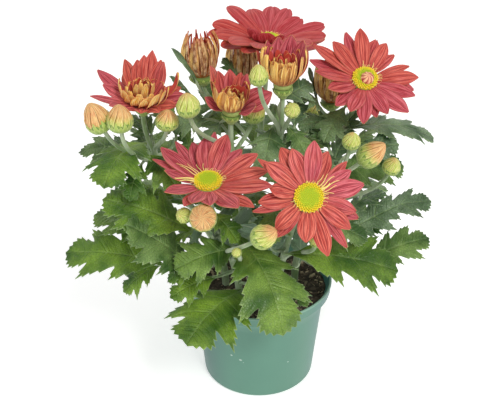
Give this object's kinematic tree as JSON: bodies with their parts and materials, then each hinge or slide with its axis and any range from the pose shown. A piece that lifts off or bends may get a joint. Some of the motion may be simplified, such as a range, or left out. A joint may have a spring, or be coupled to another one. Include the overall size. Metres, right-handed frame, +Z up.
{
  "type": "potted chrysanthemum",
  "caption": "Red daisy-flowered pot chrysanthemum with golden half-open blooms, striped buds and lobed leaves, in a round green plastic nursery pot",
  "frame": {"origin": "centre of the pot's flat base, on the surface it stands on", "axes": "+Z up; -Y towards the viewer of the picture; +X to the viewer's right"},
  "size_m": [0.2505, 0.1993, 0.2529],
  "materials": {
    "pot_green": "moulded, slightly satin, with small scuffs",
    "soil_brown": "loose moist mix with bits of bark",
    "leaf_green": "soft matte leaf with a paler midrib and veins",
    "petal_red": "velvety brick red with fine lengthwise veins",
    "petal_gold": "golden tan petal backs with red tips",
    "disc_green": "small lime florets with a yellow rim",
    "bud_pink": "closed petals striped pink, orange and tan"
  },
  "bodies": {
    "root": {"bloom_back_disc": "disc_green", "bloom_back_petals": "petal_red", "bloom_front_left_disc": "disc_green", "bloom_front_left_petals": "petal_red", "bloom_front_right_disc": "disc_green", "bloom_front_right_petals": "petal_red", "bloom_left_heart": "petal_gold", "bloom_left_petals": "petal_red", "bloom_middle_heart": "petal_gold", "bloom_middle_petals": "petal_red", "bloom_right_disc": "disc_green", "bloom_right_petals": "petal_red", "bloom_top_heart": "petal_gold", "bloom_top_petals": "petal_red", "brush_back": "petal_gold", "brush_left": "petal_gold", "brush_right": "petal_gold", "bud_far_left": "bud_pink", "bud_front": "bud_pink", "bud_front_left": "bud_pink", "bud_front_left_small": "bud_pink", "bud_front_right": "bud_pink", "bud_front_small": "bud_pink", "bud_left": "bud_pink", "bud_left_inner": "bud_pink", "bud_middle_left": "bud_pink", "bud_middle_right": "bud_pink", "bud_rear": "bud_pink", "bud_rear_left": "bud_pink", "bud_right": "bud_pink", "bud_right_lower": "bud_pink", "bud_right_upper": "bud_pink", "bud_top": "bud_pink", "bud_top_low": "bud_pink", "pot": "pot_green", "soil": "soil_brown", "stem_back": "leaf_green", "stem_front_left": "leaf_green", "stem_front_right": "leaf_green", "stem_left": "leaf_green", "stem_middle": "leaf_green", "stem_right": "leaf_green", "stem_top": "leaf_green"}
  },
  "joints": []
}
